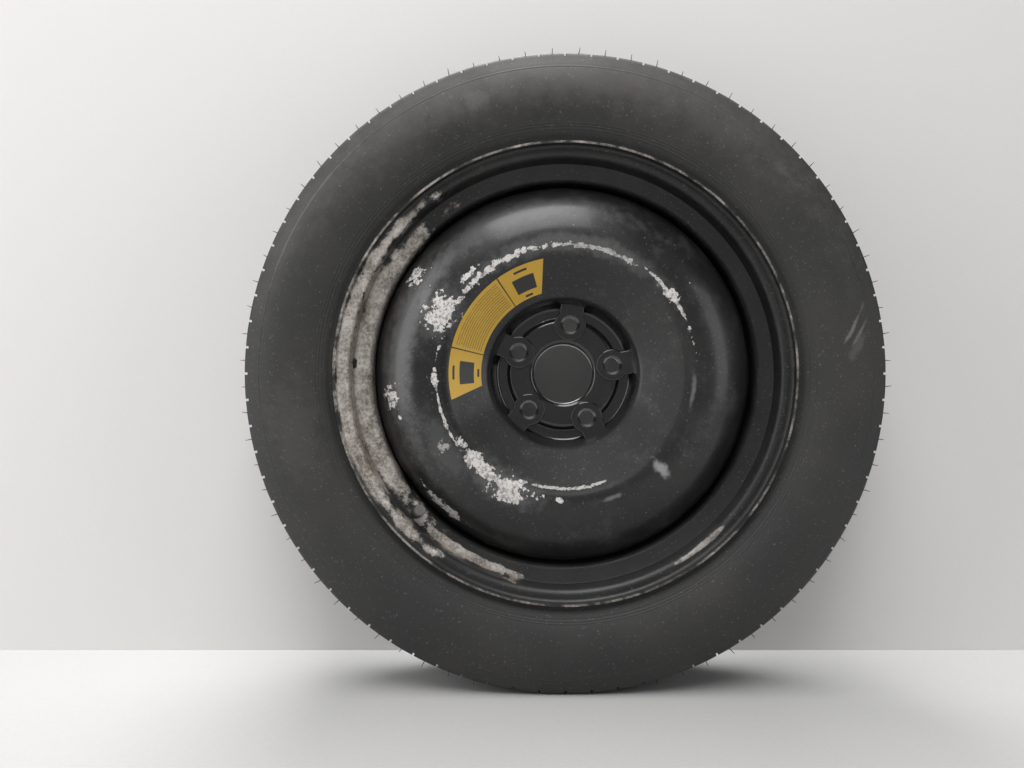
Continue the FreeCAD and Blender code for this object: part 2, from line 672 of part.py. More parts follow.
GASKET_TOP = "(%s - bond_gap)" % BARREL_END
GASKET_BASE = "(%s - gasket_length)" % GASKET_TOP
CUP_TOP = "(%s - bond_gap)" % GASKET_BASE
COLLAR_BASE = "(%s + spring_length + 2 * spring_gap)" % BARREL_FLOOR
PIN_TOP = "(stem_length - pin_setback)"
pin = valve_piece(
    "valve_pin",
    (
        ("0", CUP_TOP + " - cup_length", None),
        ("gasket_radius", CUP_TOP + " - cup_length", None),
        ("gasket_radius", CUP_TOP, None),
        ("pin_radius", CUP_TOP, None),
        ("pin_radius", COLLAR_BASE, None),
        ("pin_collar_radius", COLLAR_BASE, None),
        ("pin_collar_radius", COLLAR_BASE + " + pin_collar_length", None),
        ("pin_radius", COLLAR_BASE + " + pin_collar_length", None),
        ("pin_radius", PIN_TOP, None),
        ("0", PIN_TOP, None),
    ),
)
gasket = valve_piece(
    "valve_gasket",
    (
        ("pin_radius + bond_gap", GASKET_BASE, None),
        ("gasket_radius", GASKET_BASE, None),
        ("gasket_radius", GASKET_TOP, None),
        ("pin_radius + bond_gap", GASKET_TOP, None),
    ),
)
CAP_OPEN = "(rubber_length + cap_skirt_gap)"
CAP_BORE = "(stem_radius + cap_gap)"
CAP_SEAL_BASE = "(stem_length + cap_seal_gap)"
CAP_FLOOR = "(%s + cap_seal_length + cap_seal_gap)" % CAP_SEAL_BASE
CAP_TOP = "(%s + cap_end_wall)" % CAP_FLOOR
cap_seal = valve_piece(
    "valve_cap_seal",
    (
        ("0", CAP_SEAL_BASE, None),
        (CAP_BORE + " - cap_seal_gap", CAP_SEAL_BASE, None),
        (CAP_BORE + " - cap_seal_gap", CAP_SEAL_BASE + " + cap_seal_length", None),
        ("0", CAP_SEAL_BASE + " + cap_seal_length", None),
    ),
)
cap = valve_piece(
    "valve_cap",
    (
        (CAP_BORE, CAP_OPEN, None),
        ("cap_radius", CAP_OPEN, None),
        ("cap_radius", CAP_TOP, "cap_edge_round"),
        ("0", CAP_TOP, None),
        ("0", CAP_FLOOR, None),
        (CAP_BORE, CAP_FLOOR, None),
    ),
)
flute_outline = sketch_on(cap, "XY_Plane", "flute_outline")
bind(flute_outline, AttachmentOffset__Base__z=CAP_OPEN)
circle(flute_outline, "flute", "cap_radius + flute_radius / 2", "0", "flute_radius")
flute = feature(cap, "Pocket", "flute", flute_outline)
flute.Reversed = True
bind(flute, Length="%s - %s - 2 * cap_edge_round" % (CAP_TOP, CAP_OPEN))
doc.recompute()
ring_of(cap, "flutes", [flute], "Z_Axis", "cap_flutes")
doc.recompute()
spring = new_body("valve_spring")
wire_outline = sketch_on(spring, "XZ_Plane", "wire_outline")
WIRE_START = BARREL_FLOOR + " + spring_gap + spring_wire"
circle(wire_outline, "wire", "spring_radius", WIRE_START, "spring_wire")
coil = feature(spring, "AdditiveHelix", "coil", wire_outline)
coil.ReferenceAxis = (wire_outline, ["V_Axis"])
coil.Mode = "height-turns-angle"
coil.Angle = 0
bind(coil, Height="spring_length - 2 * spring_wire", Turns="spring_turns")
spring.setExpression("Placement", sized(VALVE_FRAME))
doc.recompute()

pieces = (
    tyre,
    rim,
    disc,
    welds,
    sticker,
    rubber,
    stem,
    core,
    core_seal,
    pin,
    gasket,
    spring,
    cap,
    cap_seal,
)
for item in doc.Objects:
    if "Invalid" in item.State or "Error" in item.State:
        raise RuntimeError("%s did not build: %s" % (item.Name, item.State))
os.makedirs("parts", exist_ok=True)
for piece in pieces:
    shape = piece.Shape
    if shape.isNull() or not shape.isValid() or not shape.Solids:
        raise RuntimeError("%s has no sound solid" % piece.Label)
    shape.exportStep("parts/%s.step" % piece.Label)
    box = shape.BoundBox
    print(piece.Label, "%d solids, %.2f cm3," % (len(shape.Solids), shape.Volume / 1000), box)
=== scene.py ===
"""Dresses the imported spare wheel: finishes and wear, tyre hairs, sticker print, floor, light and camera."""
import logging
import math
import random
from dataclasses import dataclass
from enum import Enum
from typing import Iterable, NamedTuple, Sequence, Union

import bmesh
import bpy
from mathutils import Matrix, Vector


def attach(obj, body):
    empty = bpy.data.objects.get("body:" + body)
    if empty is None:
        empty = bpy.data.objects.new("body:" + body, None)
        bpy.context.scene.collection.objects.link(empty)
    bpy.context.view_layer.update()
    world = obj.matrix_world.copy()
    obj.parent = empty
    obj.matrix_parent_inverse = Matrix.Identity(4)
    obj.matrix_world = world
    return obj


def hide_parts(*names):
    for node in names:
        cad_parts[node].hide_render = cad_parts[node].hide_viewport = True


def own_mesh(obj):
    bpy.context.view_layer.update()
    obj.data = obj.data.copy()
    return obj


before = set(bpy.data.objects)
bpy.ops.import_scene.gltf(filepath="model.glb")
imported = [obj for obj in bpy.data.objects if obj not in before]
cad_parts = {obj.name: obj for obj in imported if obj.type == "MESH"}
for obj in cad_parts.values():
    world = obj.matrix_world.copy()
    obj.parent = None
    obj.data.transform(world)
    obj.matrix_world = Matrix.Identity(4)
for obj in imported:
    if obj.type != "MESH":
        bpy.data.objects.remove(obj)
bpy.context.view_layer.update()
LOG = logging.getLogger("spare_wheel")
MM = 0.001
QUARTER_TURN = math.radians(90.0)
FULL_TURN = 360.0

Colour = tuple[float, float, float, float]
Tones = tuple[Colour, Colour]
Socket = bpy.types.NodeSocket
Feed = Union[float, Sequence[float], Socket]


def grey(level: float, warm: float = 0.0) -> Colour:
    """A grey, pushed towards brown by warm."""
    return (level * (1.0 + warm), level, level * (1.0 - warm), 1.0)


class Side(Enum):
    """The two sides of the wheel along its axle."""

    OUTER = -1.0
    INBOARD = 1.0


class Span(NamedTuple):
    """The two limits of a step, a spread or a choice."""

    low: float
    high: float


class Noise(NamedTuple):
    """A noise texture: waves per metre, octaves, and the strength of the finer ones."""

    scale: float
    detail: float
    rough: float


class Ground(NamedTuple):
    """What a finish can read at a point of the surface."""

    point: Socket
    azimuth: Socket
    radius: Socket
    outward: Socket
    cloud: Socket
    speck: Socket
    grain: Socket


@dataclass(frozen=True)
class Field:
    """A place on the wheel: middle and half sizes in degrees round the axle and millimetres from it."""

    azimuth: float
    half_azimuth: float
    radius: float
    half_radius: float


@dataclass(frozen=True)
class Patch(Field):
    """A worn place. Slant is how many millimetres it rises with each degree."""

    strength: float = 1.0
    slant: float = 0.0

    def inputs(self) -> dict[str, float]:
        """Its values under the names of the worn spot's inputs."""
        return {
            "Middle": self.azimuth,
            "Half azimuth": self.half_azimuth,
            "Height": self.radius,
            "Half radius": self.half_radius,
            "Slant": self.slant,
            "Strength": self.strength,
        }


@dataclass
class Graph:
    """Short calls that build one node tree."""

    tree: bpy.types.NodeTree

    def add(self, kind: str, **settings: object) -> bpy.types.Node:
        """Adds a node.

        Args:
            kind: Blender's name of the node type.
            **settings: properties of the node.

        Returns:
            The new node.
        """
        node = self.tree.nodes.new(kind)
        for name, value in settings.items():
            setattr(node, name, value)
        return node

    def found(self, kind: str) -> bpy.types.Node:
        """The first node of a type that the tree already has."""
        return next(node for node in self.tree.nodes if node.type == kind)

    def feed(self, socket: Socket, value: Feed) -> None:
        """Links or sets an input.

        Args:
            socket: the input.
            value: an output to link, or a plain value.
        """
        if isinstance(value, bpy.types.NodeSocket):
            self.tree.links.new(value, socket)
        else:
            socket.default_value = value

    def math(self, operation: str, *values: Feed) -> Socket:
        """One Math node.

        Args:
            operation: Blender's name of the operation.
            *values: its inputs in order.

        Returns:
            Its output.
        """
        node = self.add("ShaderNodeMath", operation=operation)
        for socket, value in zip(node.inputs, values):
            self.feed(socket, value)
        return node.outputs[0]

    def times(self, first: Feed, *others: Feed) -> Socket:
        """The product of several values.

        Args:
            first: the first value.
            *others: the rest, at least one.

        Returns:
            Their product.
        """
        product = first
        for other in others:
            product = self.math("MULTIPLY", product, other)
        return product

    def most(self, masks: Iterable[Socket]) -> Socket:
        """The highest of several masks.

        Args:
            masks: the masks, at least one.

        Returns:
            Their maximum.
        """
        rest = list(masks)
        best = rest[0]
        for mask in rest[1:]:
            best = self.math("MAXIMUM", best, mask)
        return best

    def off(self, value: Feed, at: float) -> Socket:
        """How far a value lies from a number."""
        return self.math("ABSOLUTE", self.math("SUBTRACT", value, at))

    def step(self, value: Feed, span: Span) -> Socket:
        """A soft step from 0 at the low limit to 1 at the high one.

        Args:
            value: what is stepped.
            span: the limits.

        Returns:
            The result.
        """
        node = self.add("ShaderNodeMapRange", interpolation_type="SMOOTHSTEP")
        self.feed(node.inputs["Value"], value)
        node.inputs["From Min"].default_value = span.low
        node.inputs["From Max"].default_value = span.high
        return node.outputs["Result"]

    def fade(self, value: Feed, span: Span) -> Socket:
        """A soft step from 1 at the low limit to 0 at the high one."""
        return self.math("SUBTRACT", 1.0, self.step(value, span))

    def spread(self, value: Feed, span: Span) -> Socket:
        """A value from 0 to 1 spread between two numbers.

        Args:
            value: the value.
            span: the results at 0 and at 1.

        Returns:
            The result.
        """
        node = self.add("ShaderNodeMapRange")
        self.feed(node.inputs["Value"], value)
        node.inputs["To Min"].default_value = span.low
        node.inputs["To Max"].default_value = span.high
        return node.outputs["Result"]

    def blend(self, factor: Feed, low: Feed, high: Feed) -> Socket:
        """Mixes two colours.

        Args:
            factor: 0 for low, 1 for high.
            low: the first colour.
            high: the second colour.

        Returns:
            The mixed colour.
        """
        node = self.add("ShaderNodeMix", data_type="RGBA")
        self.feed(node.inputs[0], factor)
        self.feed(node.inputs[6], low)
        self.feed(node.inputs[7], high)
        return node.outputs[2]

    def noise(self, vector: Feed, kind: Noise) -> Socket:
        """A noise texture.

        Args:
            vector: where it is read.
            kind: its scale, detail and roughness.

        Returns:
            Its value, about 0.5 on average.
        """
        node = self.add("ShaderNodeTexNoise")
        self.feed(node.inputs["Vector"], vector)
        node.inputs["Scale"].default_value = kind.scale
        node.inputs["Detail"].default_value = kind.detail
        node.inputs["Roughness"].default_value = kind.rough
        return node.outputs["Fac"]

    def place(self) -> Socket:
        """The point on the object, in the row frame."""
        return self.add("ShaderNodeTexCoord").outputs["Object"]

    def facing(self) -> Sequence[Socket]:
        """The three parts of the surface's direction, in the row frame."""
        split = self.add("ShaderNodeSeparateXYZ")
        self.feed(split.inputs[0], self.add("ShaderNodeTexCoord").outputs["Normal"])
        return split.outputs

    def use(self, group: bpy.types.NodeTree, **values: Feed) -> bpy.types.Node:
        """Places a node group.

        Args:
            group: the group.
            **values: its inputs by name.

        Returns:
            The group's node.
        """
        node = self.add("ShaderNodeGroup", node_tree=group)
        for name, value in values.items():
            self.feed(node.inputs[name], value)
        return node


class Groups:
    """The shader node groups that several finishes share."""

    CLOUD = Noise(9.0, 5.0, 0.6)
    CLOUD_SPAN = Span(0.35, 0.75)
    SPECK = Noise(420.0, 2.0, 0.5)
    SPECK_SPAN = Span(0.645, 0.72)
    GRAIN = Noise(900.0, 3.0, 0.6)
    NOISE_MIDDLE = 0.5

    def __init__(self) -> None:
        """Builds each group once."""
        self.polar = self._polar()
        self.patch = self._patch()
        self.dust = self._dust()

    @staticmethod
    def _new(name: str, place: Sequence[str], numbers: Sequence[str], outputs: Sequence[str]) -> tuple:
        """Starts a group.

        Args:
            name: the group's name.
            place: names of its vector inputs.
            numbers: names of its number inputs.
            outputs: names of its outputs, all numbers.

        Returns:
            The graph, the group's given values and its results.
        """
        tree = bpy.data.node_groups.new(name, "ShaderNodeTree")
        for label in place:
            tree.interface.new_socket(label, in_out="INPUT", socket_type="NodeSocketVector")
        for label in numbers:
            tree.interface.new_socket(label, in_out="INPUT", socket_type="NodeSocketFloat")
        for label in outputs:
            tree.interface.new_socket(label, in_out="OUTPUT", socket_type="NodeSocketFloat")
        graph = Graph(tree)
        return graph, graph.add("NodeGroupInput").outputs, graph.add("NodeGroupOutput").inputs

    def _polar(self) -> bpy.types.NodeTree:
        """Degrees round the axle, millimetres from it, and millimetres towards the outer face."""
        graph, given, out = self._new("round_the_axle", ["Point"], [], ["Azimuth", "Radius", "Outward"])
        split = graph.add("ShaderNodeSeparateXYZ")
        graph.feed(split.inputs[0], given["Point"])
        x, y, z = split.outputs
        angle = graph.math("DEGREES", graph.math("ARCTAN2", z, x))
        graph.feed(out["Azimuth"], graph.math("WRAP", angle, FULL_TURN, 0.0))
        square = graph.math("MULTIPLY_ADD", x, x, graph.times(z, z))
        graph.feed(out["Radius"], graph.math("DIVIDE", graph.math("SQRT", square), MM))
        graph.feed(out["Outward"], graph.math("DIVIDE", y, -MM))
        return graph.tree

    def _patch(self) -> bpy.types.NodeTree:
        """A ragged spot at an azimuth and a radius."""
        read = ["Azimuth", "Radius", "Noise"]
        form = ["Middle", "Half azimuth", "Height", "Half radius", "Slant", "Ragged", "Soft", "Strength"]
        graph, given, out = self._new("worn_spot", [], read + form, ["Mask"])
        turn = graph.math("SUBTRACT", given["Azimuth"], given["Middle"])
        turn = graph.math("WRAP", turn, FULL_TURN / 2.0, -FULL_TURN / 2.0)
        height = graph.math("MULTIPLY_ADD", turn, given["Slant"], given["Height"])
        rise = graph.math("SUBTRACT", given["Radius"], height)
        turn = graph.math("DIVIDE", turn, given["Half azimuth"])
        rise = graph.math("DIVIDE", rise, given["Half radius"])
        far = graph.math("MULTIPLY_ADD", turn, turn, graph.times(rise, rise))
        near = graph.math("SUBTRACT", 1.0, graph.math("SQRT", far))
        shake = graph.times(graph.math("SUBTRACT", given["Noise"], self.NOISE_MIDDLE), given["Ragged"])
        inside = graph.math("DIVIDE", graph.math("ADD", near, shake), given["Soft"])
        graph.feed(out["Mask"], graph.times(graph.step(inside, Span(-1.0, 1.0)), given["Strength"]))
        return graph.tree

    def _dust(self) -> bpy.types.NodeTree:
        """Clouds, specks and fine grain that any dirty surface wears."""
        graph, given, out = self._new("dust", ["Point"], [], ["Cloud", "Speck", "Grain"])
        point = given["Point"]
        graph.feed(out["Cloud"], graph.step(graph.noise(point, self.CLOUD), self.CLOUD_SPAN))
        graph.feed(out["Speck"], graph.step(graph.noise(point, self.SPECK), self.SPECK_SPAN))
        graph.feed(out["Grain"], graph.noise(point, self.GRAIN))
        return graph.tree


@dataclass(frozen=True)
class Finish:
    """A finish: a name, the shared groups, and a build method in each kind."""

    name: str
    groups: Groups

    def start(self) -> tuple[bpy.types.Material, Graph, bpy.types.Node]:
        """Starts a material.

        Returns:
            The material, its graph and its shader.
        """
        material = bpy.data.materials.new(self.name)
        material.use_nodes = True
        graph = Graph(material.node_tree)
        return material, graph, graph.found("BSDF_PRINCIPLED")

    def ground(self, graph: Graph) -> Ground:
        """Places the shared groups.

        Args:
            graph: the material's graph.

        Returns:
            The point and what the groups say of it, in the order of their outputs.
        """
        point = graph.place()
        polar = graph.use(self.groups.polar, Point=point).outputs
        dust = graph.use(self.groups.dust, Point=point).outputs
        return Ground(point, *polar, *dust)

    def spots(
        self, graph: Graph, ground: Ground, noise: Feed, patches: Sequence[Patch], ragged: float, soft: float
    ) -> Socket:
        """All worn spots of a list as one mask.

        Args:
            graph: the material's graph.
            ground: gives azimuth and radius.
            noise: what roughens the outlines.
            patches: the spots.
            ragged: how strongly it does.
            soft: how softly the outlines fade.

        Returns:
            The mask.
        """
        masks = []
        for patch in patches:
            node = graph.use(self.groups.patch, Azimuth=ground.azimuth, Radius=ground.radius, Noise=noise)
            for label, value in patch.inputs().items():
                node.inputs[label].default_value = value
            node.inputs["Ragged"].default_value = ragged
            node.inputs["Soft"].default_value = soft
            masks.append(node.outputs["Mask"])
        return graph.most(masks)

    @staticmethod
    def bump(graph: Graph, shader: bpy.types.Node, height: Feed, strength: float, distance: float) -> None:
        """Feeds a height to the shader's normal.

        Args:
            graph: the material's graph.
            shader: the shader.
            height: the height.
            strength: how much it counts.
            distance: metres of the full height.
        """
        node = graph.add("ShaderNodeBump")
        node.inputs["Strength"].default_value = strength
        node.inputs["Distance"].default_value = distance
        graph.feed(node.inputs["Height"], height)
        graph.feed(shader.inputs["Normal"], node.outputs["Normal"])


@dataclass(frozen=True)
class TyreRubber(Finish):
    """Matt sidewall rubber with mould lines, dust and scuffs, and a lighter top that is partly dust and
    partly painted light from above.
    """

    scuffs: Sequence[Patch] = (
        Patch(9.2, 3.0, 301.7, 2.4, 0.55, 3.9),
        Patch(7.8, 2.4, 307.5, 2.0, 0.4, 3.9),
        Patch(5.0, 2.2, 303.0, 6.0, 0.2, 3.0),
        Patch(108.0, 3.0, 298.0, 9.0, 0.16),
        Patch(42.0, 2.5, 309.0, 7.0, 0.12),
        Patch(150.0, 16.0, 320.5, 0.9, 0.3),
    )
    # Smudges, and a broad patch over the top that is partly dust and partly painted light from above.
    smudges_and_top_light: Sequence[Patch] = (
        Patch(191.0, 9.0, 287.0, 20.0, 0.5),
        Patch(150.0, 14.0, 322.0, 12.0, 0.5),
        Patch(92.0, 44.0, 318.0, 30.0, 0.75),
        Patch(60.0, 9.0, 300.0, 16.0, 0.5),
    )
    line_radii: Sequence[tuple[float, float]] = ((256.5, 0.7), (259.5, 0.7), (262.0, 0.6), (320.5, 0.8))
    line_edge: Span = Span(0.3, 1.4)
    outer_side: Span = Span(20.0, 45.0)
    outlines: Noise = Noise(55.0, 5.0, 0.65)
    scuff_ragged: float = 3.4
    scuff_soft: float = 0.5
    smudge_and_top_light_ragged: float = 2.6
    smudge_and_top_light_soft: float = 0.9
    dark: Colour = grey(0.019, 0.02)
    light: Colour = grey(0.033, 0.05)
    smudge_and_top_light_tone: Colour = grey(0.066, 0.09)
    scuff_tone: Colour = grey(0.20, 0.02)
    fleck_tone: Colour = grey(0.35, 0.04)
    fleck_strength: float = 0.16
    roughness: Span = Span(0.58, 0.74)
    grain_share: float = 0.35
    bump_strength: float = 0.55
    bump_height: float = 0.0006

    def build(self) -> bpy.types.Material:
        """Builds the material."""
        material, graph, shader = self.start()
        ground = self.ground(graph)
        ragged = graph.noise(ground.point, self.outlines)
        outer = graph.step(ground.outward, self.outer_side)
        scuff = self.spots(graph, ground, ragged, self.scuffs, self.scuff_ragged, self.scuff_soft)
        smudge_and_top_light = self.spots(graph, ground, ragged, self.smudges_and_top_light, self.smudge_and_top_light_ragged, self.smudge_and_top_light_soft)
        colour = graph.blend(ground.cloud, self.dark, self.light)
        # Smudges, and a lighter top that is partly painted light from above.
        colour = graph.blend(graph.times(smudge_and_top_light, outer), colour, self.smudge_and_top_light_tone)
        colour = graph.blend(graph.times(scuff, outer), colour, self.scuff_tone)
        colour = graph.blend(graph.times(ground.speck, self.fleck_strength), colour, self.fleck_tone)
        graph.feed(shader.inputs["Base Color"], colour)
        graph.feed(shader.inputs["Roughness"], graph.spread(ground.cloud, self.roughness))
        lines = [self._line(graph, ground.radius, at, half) for at, half in self.line_radii]
        height = graph.math("ADD", graph.most(lines), graph.times(ground.grain, self.grain_share))
        self.bump(graph, shader, height, self.bump_strength, self.bump_height)
        return material

    def _line(self, graph: Graph, radius: Feed, at: float, half: float) -> Socket:
        """A moulded line round the sidewall.

        Args:
            graph: the material's graph.
            radius: millimetres from the axle.
            at: the line's radius.
            half: its half width.

        Returns:
            Its height from 0 to 1.
        """
        edge = Span(half * self.line_edge.low, half * self.line_edge.high)
        return graph.fade(graph.off(radius, at), edge)


@dataclass(frozen=True)
class DiscPaint(Finish):
    """Black paint on the disc, rubbed on the crest and chipped to pale primer, with a glossier hub painted
    darker as shade.
    """

    chips: Sequence[Patch] = (
        Patch(154.4, 6.5, 145.0, 15.0),
        Patch(124.0, 28.0, 135.0, 3.4),
        Patch(78.0, 20.0, 134.5, 2.2, 0.65),
        Patch(36.0, 3.4, 137.0, 4.6),
        Patch(34.0, 17.0, 137.0, 1.6, 0.8),
        Patch(135.0, 4.0, 145.0, 3.2),
        Patch(146.5, 3.0, 189.0, 8.0),
        Patch(187.8, 3.0, 187.0, 6.0),
        Patch(195.0, 0.8, 181.0, 2.2),
        Patch(234.0, 18.0, 131.0, 5.5),
        Patch(243.0, 7.0, 135.0, 10.0),
        Patch(197.0, 20.0, 135.5, 1.3, 0.9),
        Patch(182.0, 3.0, 137.0, 2.6),
        Patch(273.0, 18.0, 120.5, 1.4, 0.7),
        Patch(266.8, 1.6, 132.0, 2.2),
        Patch(211.0, 2.2, 149.0, 5.0, 0.5),
        Patch(228.0, 7.0, 192.0, 3.5, 0.8),
    )
    rubs: Sequence[Patch] = (
        Patch(315.0, 1.9, 140.5, 11.0, 0.9),
        Patch(352.0, 6.0, 134.0, 2.2, 0.35),
        Patch(290.0, 4.0, 138.0, 2.2, 0.4),
        Patch(152.0, 5.0, 168.0, 6.0, 0.3),
        Patch(90.0, 45.0, 137.0, 9.0, 0.22),
        Patch(154.0, 11.0, 147.0, 22.0, 0.2),
        Patch(240.0, 17.0, 134.0, 15.0, 0.2),
        Patch(212.0, 13.0, 150.0, 13.0, 0.12),
        Patch(165.0, 40.0, 176.0, 14.0, 0.2),
        Patch(110.0, 40.0, 176.0, 12.0, 0.14),
    )
    # Outlines of chips and rubs, and stray chips between them.
    flake: Noise = Noise(190.0, 4.0, 0.62)
    flake_share: float = 0.55
    blotch: Noise = Noise(52.0, 6.0, 0.7)
    blotch_share: float = 0.45
    chip_ragged: float = 7.0
    chip_soft: float = 0.05
    rub_outlines: Noise = Noise(120.0, 4.0, 0.6)
    rub_ragged: float = 1.8
    rub_soft: float = 0.6
    rub_tone: Colour = grey(0.30)
    stray: Noise = Noise(150.0, 4.0, 0.65)
    stray_span: Span = Span(0.725, 0.74)
    stray_strength: float = 0.7
    faces_outward: Span = Span(-0.1, 0.0)
    # Paint with its haze and flecks.
    dark: Colour = grey(0.009)
    light: Colour = grey(0.021, 0.02)
    haze: Noise = Noise(26.0, 7.0, 0.72)
    haze_span: Span = Span(0.5, 0.78)
    haze_strength: float = 0.4
    haze_tone: Colour = grey(0.095, 0.02)
    fleck_strength: float = 0.28
    fleck_tone: Colour = grey(0.2)
    # Painted shade: the recessed hub is painted darker than the rest.
    hub_edge: Span = Span(74.0, 84.0)
    hub_shade_strength: float = 0.75
    hub_shade_tone: Colour = grey(0.004)
    # Primer under the chips.
    pits: Noise = Noise(330.0, 5.0, 0.66)
    pit_span: Span = Span(0.34, 0.56)
    primer_dark: Colour = grey(0.20, 0.04)
    primer_light: Colour = grey(0.60, 0.04)
    # Where dust dulls the gloss.
    cone_inside: Span = Span(72.0, 82.0)
    cone_outside: Span = Span(122.0, 134.0)
    cone_faces_up: Span = Span(0.0, 0.35)
    bolt_seat_slope: float = -0.5
    bolt_seat_edge: Span = Span(0.03, 0.07)
    bolt_seat_faces_up: Span = Span(0.2, 0.5)
    # Gloss and relief.
    specular: float = 0.4
    coat: float = 0.2
    hub_coat: float = 0.5
    coat_roughness: float = 0.13
    sheen: Noise = Noise(30.0, 5.0, 0.6)
    roughness: Span = Span(0.25, 0.47)
    hub_smoothing: float = -0.4
    dusty_roughness: float = 0.62
    chip_roughness: float = 0.7
    peel: Noise = Noise(260.0, 3.0, 0.5)
    peel_share: float = 0.5
    bump_strength: float = 0.35
    bump_height: float = 0.0003

    def build(self) -> bpy.types.Material:
        """Builds the material."""
        material, graph, shader = self.start()
        ground = self.ground(graph)
        facing = graph.facing()
        hub = graph.fade(ground.radius, self.hub_edge)
        chip, rub = self._wear(graph, ground, facing)
        pits = graph.step(graph.noise(ground.point, self.pits), self.pit_span)
        primer = graph.blend(pits, self.primer_dark, self.primer_light)
        colour = graph.blend(rub, self._paint(graph, ground, hub), self.rub_tone)
        graph.feed(shader.inputs["Base Color"], graph.blend(chip, colour, primer))
        self._gloss(graph, shader, ground, facing, hub, chip)
        peel = graph.times(graph.noise(ground.point, self.peel), self.peel_share)
        height = graph.math("SUBTRACT", peel, chip)
        self.bump(graph, shader, height, self.bump_strength, self.bump_height)
        return material

    def _wear(self, graph: Graph, ground: Ground, facing: Sequence[Socket]) -> tuple[Socket, Socket]:
        """Chips and rubs, on the outer face alone.

        Args:
            graph: the material's graph.
            ground: what it reads at a point.
            facing: the surface's direction.

        Returns:
            The masks of the chips and of the rubs.
        """
        blotch = graph.times(graph.noise(ground.point, self.blotch), self.blotch_share)
        flake = graph.noise(ground.point, self.flake)
        ragged = graph.math("MULTIPLY_ADD", flake, self.flake_share, blotch)
        chip = self.spots(graph, ground, ragged, self.chips, self.chip_ragged, self.chip_soft)
        stray = graph.step(graph.noise(ground.point, self.stray), self.stray_span)
        chip = graph.math("MAXIMUM", chip, graph.times(stray, self.stray_strength))
        ragged = graph.noise(ground.point, self.rub_outlines)
        rub = self.spots(graph, ground, ragged, self.rubs, self.rub_ragged, self.rub_soft)
        outer = graph.fade(facing[1], self.faces_outward)
        return graph.times(chip, outer), graph.times(rub, outer)

    def _paint(self, graph: Graph, ground: Ground, hub: Socket) -> Socket:
        """The paint's colour with its haze and flecks, and painted shade over the recessed hub.

        Args:
            graph: the material's graph.
            ground: what it reads at a point.
            hub: where the hub is.

        Returns:
            The colour.
        """
        paint = graph.blend(ground.cloud, self.dark, self.light)
        haze = graph.step(graph.noise(ground.point, self.haze), self.haze_span)
        paint = graph.blend(graph.times(haze, self.haze_strength), paint, self.haze_tone)
        paint = graph.blend(graph.times(ground.speck, self.fleck_strength), paint, self.fleck_tone)
        # Painted shade: darkens the paint over the recessed hub.
        return graph.blend(graph.times(hub, self.hub_shade_strength), paint, self.hub_shade_tone)

    def _gloss(
        self,
        graph: Graph,
        shader: bpy.types.Node,
        ground: Ground,
        facing: Sequence[Socket],
        hub: Socket,
        chip: Socket,
    ) -> None:
        """Sets the gloss, which dust dulls where the cone and the bolt seats face up.

        Args:
            graph: the material's graph.
            shader: the shader.
            ground: what it reads at a point.
            facing: the surface's direction.
            hub: where the hub is.
            chip: where the paint is gone.
        """
        cone = graph.times(
            graph.fade(ground.radius, self.cone_outside),
            graph.step(ground.radius, self.cone_inside),
            graph.step(facing[2], self.cone_faces_up),
        )
        seat = graph.fade(graph.off(facing[1], self.bolt_seat_slope), self.bolt_seat_edge)
        seat = graph.times(hub, seat, graph.step(facing[2], self.bolt_seat_faces_up))
        dusty = graph.math("MAXIMUM", cone, seat)
        coat = graph.math("MULTIPLY_ADD", hub, self.hub_coat, self.coat)
        graph.feed(shader.inputs["Coat Weight"], graph.times(coat, graph.math("SUBTRACT", 1.0, dusty)))
        shader.inputs["Coat Roughness"].default_value = self.coat_roughness
        shader.inputs["Specular IOR Level"].default_value = self.specular
        rough = graph.spread(graph.noise(ground.point, self.sheen), self.roughness)
        rough = graph.times(rough, graph.math("MULTIPLY_ADD", hub, self.hub_smoothing, 1.0))
        worn = (rough, graph.times(dusty, self.dusty_roughness), graph.times(chip, self.chip_roughness))
        graph.feed(shader.inputs["Roughness"], graph.most(worn))


